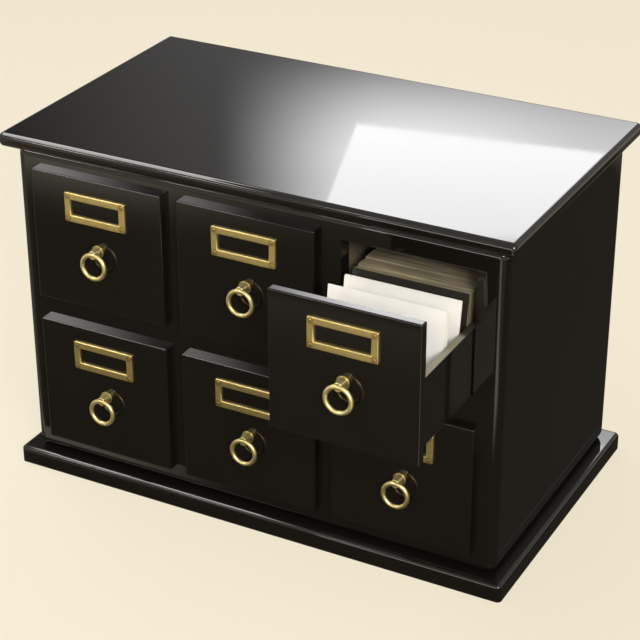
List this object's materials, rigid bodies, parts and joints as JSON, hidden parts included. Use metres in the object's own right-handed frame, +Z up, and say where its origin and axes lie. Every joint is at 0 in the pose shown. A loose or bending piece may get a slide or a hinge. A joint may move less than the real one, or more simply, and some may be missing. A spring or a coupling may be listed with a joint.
{
  "type": "index card drawer",
  "caption": "Desk-top cabinet of index card drawers in polished black lacquer, with brass label frames and ring pulls and an open drawer of cards.",
  "frame": {"origin": "centre of the underside of the base board", "axes": "+X to the right as seen from the front, +Y from the drawer fronts to the back, +Z up"},
  "size_m": [0.5944, 0.4815, 0.4046],
  "materials": {
    "lacquer": "black lacquer, polished",
    "bare_wood": "pale bare wood, sanded",
    "brass": "polished brass",
    "card_stock": "smooth white card",
    "buff_card_stock": "buff card, smooth",
    "divider_stock": "dark pressboard"
  },
  "bodies": {
    "carcass": {"base_board": "lacquer", "top_board": "lacquer", "left_side": "lacquer", "right_side": "lacquer", "back_panel": "lacquer", "bottom_rail": "lacquer", "middle_rail": "lacquer", "top_rail": "lacquer", "stiles": "lacquer", "shelves": "bare_wood", "partitions": "bare_wood", "drawer_guides": "bare_wood", "drawer_stops": "bare_wood"},
    "upper_left_drawer": {"upper_left_front": "lacquer", "upper_left_sides": "bare_wood", "upper_left_back": "bare_wood", "upper_left_bottom": "bare_wood", "upper_left_label_frame": "brass", "upper_left_pull_post": "brass"},
    "upper_left_ring": {"upper_left_pull_ring": "brass"},
    "upper_middle_drawer": {"upper_middle_front": "lacquer", "upper_middle_sides": "bare_wood", "upper_middle_back": "bare_wood", "upper_middle_bottom": "bare_wood", "upper_middle_label_frame": "brass", "upper_middle_pull_post": "brass"},
    "upper_middle_ring": {"upper_middle_pull_ring": "brass"},
    "upper_right_drawer": {"upper_right_front": "lacquer", "upper_right_sides": "bare_wood", "upper_right_back": "bare_wood", "upper_right_bottom": "bare_wood", "upper_right_label_frame": "brass", "upper_right_pull_post": "brass", "guide_card": "card_stock", "front_cards": "card_stock", "middle_cards": "card_stock", "divider_card": "divider_stock", "rear_cards": "buff_card_stock"},
    "upper_right_ring": {"upper_right_pull_ring": "brass"},
    "lower_left_drawer": {"lower_left_front": "lacquer", "lower_left_sides": "bare_wood", "lower_left_back": "bare_wood", "lower_left_bottom": "bare_wood", "lower_left_label_frame": "brass", "lower_left_pull_post": "brass"},
    "lower_left_ring": {"lower_left_pull_ring": "brass"},
    "lower_middle_drawer": {"lower_middle_front": "lacquer", "lower_middle_sides": "bare_wood", "lower_middle_back": "bare_wood", "lower_middle_bottom": "bare_wood", "lower_middle_label_frame": "brass", "lower_middle_pull_post": "brass"},
    "lower_middle_ring": {"lower_middle_pull_ring": "brass"},
    "lower_right_drawer": {"lower_right_front": "lacquer", "lower_right_sides": "bare_wood", "lower_right_back": "bare_wood", "lower_right_bottom": "bare_wood", "lower_right_label_frame": "brass", "lower_right_pull_post": "brass"},
    "lower_right_ring": {"lower_right_pull_ring": "brass"}
  },
  "joints": [
    {"name": "upper_left_slide", "type": "slide", "parent": "carcass", "child": "upper_left_drawer", "axis": [0, -1, 0], "range_m": [0, 0.25]},
    {"name": "upper_left_ring_swing", "type": "hinge", "parent": "upper_left_drawer", "child": "upper_left_ring", "pos_m": [-0.1787, -0.178, 0.29], "axis": [-1, 0, 0], "range_deg": [-12, 120]},
    {"name": "upper_middle_slide", "type": "slide", "parent": "carcass", "child": "upper_middle_drawer", "axis": [0, -1, 0], "range_m": [0, 0.25]},
    {"name": "upper_middle_ring_swing", "type": "hinge", "parent": "upper_middle_drawer", "child": "upper_middle_ring", "pos_m": [0, -0.178, 0.29], "axis": [-1, 0, 0], "range_deg": [-12, 120]},
    {"name": "upper_right_slide", "type": "slide", "parent": "carcass", "child": "upper_right_drawer", "axis": [0, -1, 0], "range_m": [-0.1275, 0.1225]},
    {"name": "upper_right_ring_swing", "type": "hinge", "parent": "upper_right_drawer", "child": "upper_right_ring", "pos_m": [0.1787, -0.3055, 0.29], "axis": [-1, 0, 0], "range_deg": [-12, 120]},
    {"name": "lower_left_slide", "type": "slide", "parent": "carcass", "child": "lower_left_drawer", "axis": [0, -1, 0], "range_m": [0, 0.25]},
    {"name": "lower_left_ring_swing", "type": "hinge", "parent": "lower_left_drawer", "child": "lower_left_ring", "pos_m": [-0.1787, -0.178, 0.1123], "axis": [-1, 0, 0], "range_deg": [-12, 120]},
    {"name": "lower_middle_slide", "type": "slide", "parent": "carcass", "child": "lower_middle_drawer", "axis": [0, -1, 0], "range_m": [0, 0.25]},
    {"name": "lower_middle_ring_swing", "type": "hinge", "parent": "lower_middle_drawer", "child": "lower_middle_ring", "pos_m": [0, -0.178, 0.1123], "axis": [-1, 0, 0], "range_deg": [-12, 120]},
    {"name": "lower_right_slide", "type": "slide", "parent": "carcass", "child": "lower_right_drawer", "axis": [0, -1, 0], "range_m": [0, 0.25]},
    {"name": "lower_right_ring_swing", "type": "hinge", "parent": "lower_right_drawer", "child": "lower_right_ring", "pos_m": [0.1787, -0.178, 0.1123], "axis": [-1, 0, 0], "range_deg": [-12, 120]}
  ]
}
